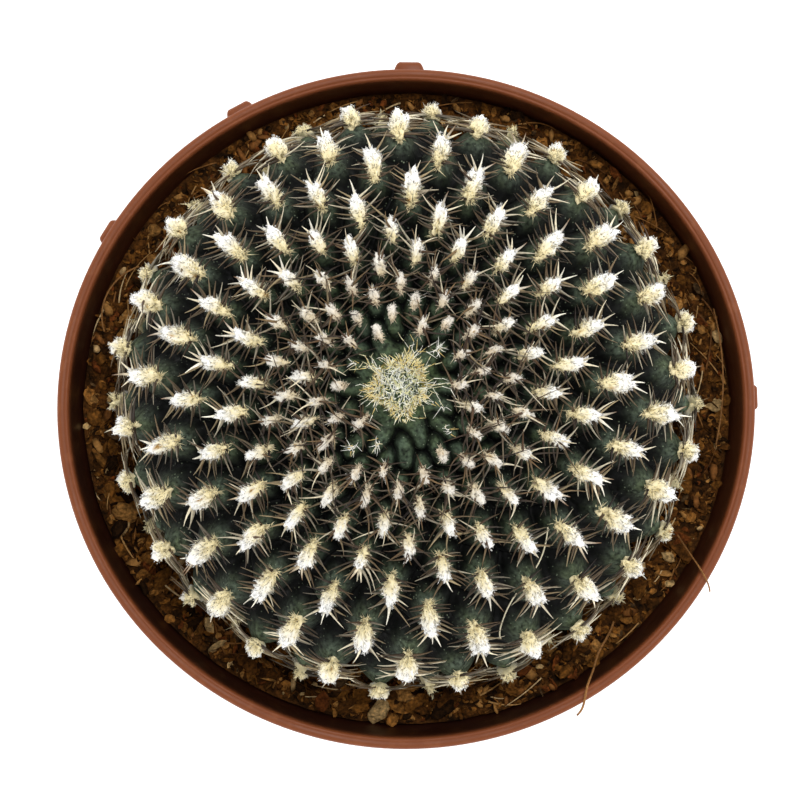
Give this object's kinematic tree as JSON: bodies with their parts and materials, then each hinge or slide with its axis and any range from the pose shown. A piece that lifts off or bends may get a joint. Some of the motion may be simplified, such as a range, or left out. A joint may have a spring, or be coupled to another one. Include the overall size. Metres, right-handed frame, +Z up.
{
  "type": "potted round cactus",
  "caption": "Round, flattened spiny cactus with spiralling woolly areoles, growing in soil in a round terracotta-coloured plastic nursery pot with a collar rim.",
  "frame": {"origin": "on the ground under the middle of the pot's rim, at the bottom centre of the whole object", "axes": "+Z up along the pot's axis; +X along the rim's wider diameter, towards the smallest moulded lug; +Y towards the largest lug"},
  "size_m": [0.0855, 0.0838, 0.0909],
  "materials": {
    "terracotta_plastic": "moulded terracotta-coloured plastic, satin, slightly scuffed at the rim",
    "potting_mix": "loose brown potting mix of peat, bark and grit with root fibres, dull",
    "cactus_flesh": "dark green waxy skin with fine pale specks; woolly cream areoles and brown to white spines grow on it",
    "areole_wool": "fine cream to yellow-green plant wool"
  },
  "bodies": {
    "root": {"pot": "terracotta_plastic", "soil": "potting_mix", "cactus": "cactus_flesh", "crown_wool": "areole_wool"}
  },
  "joints": []
}
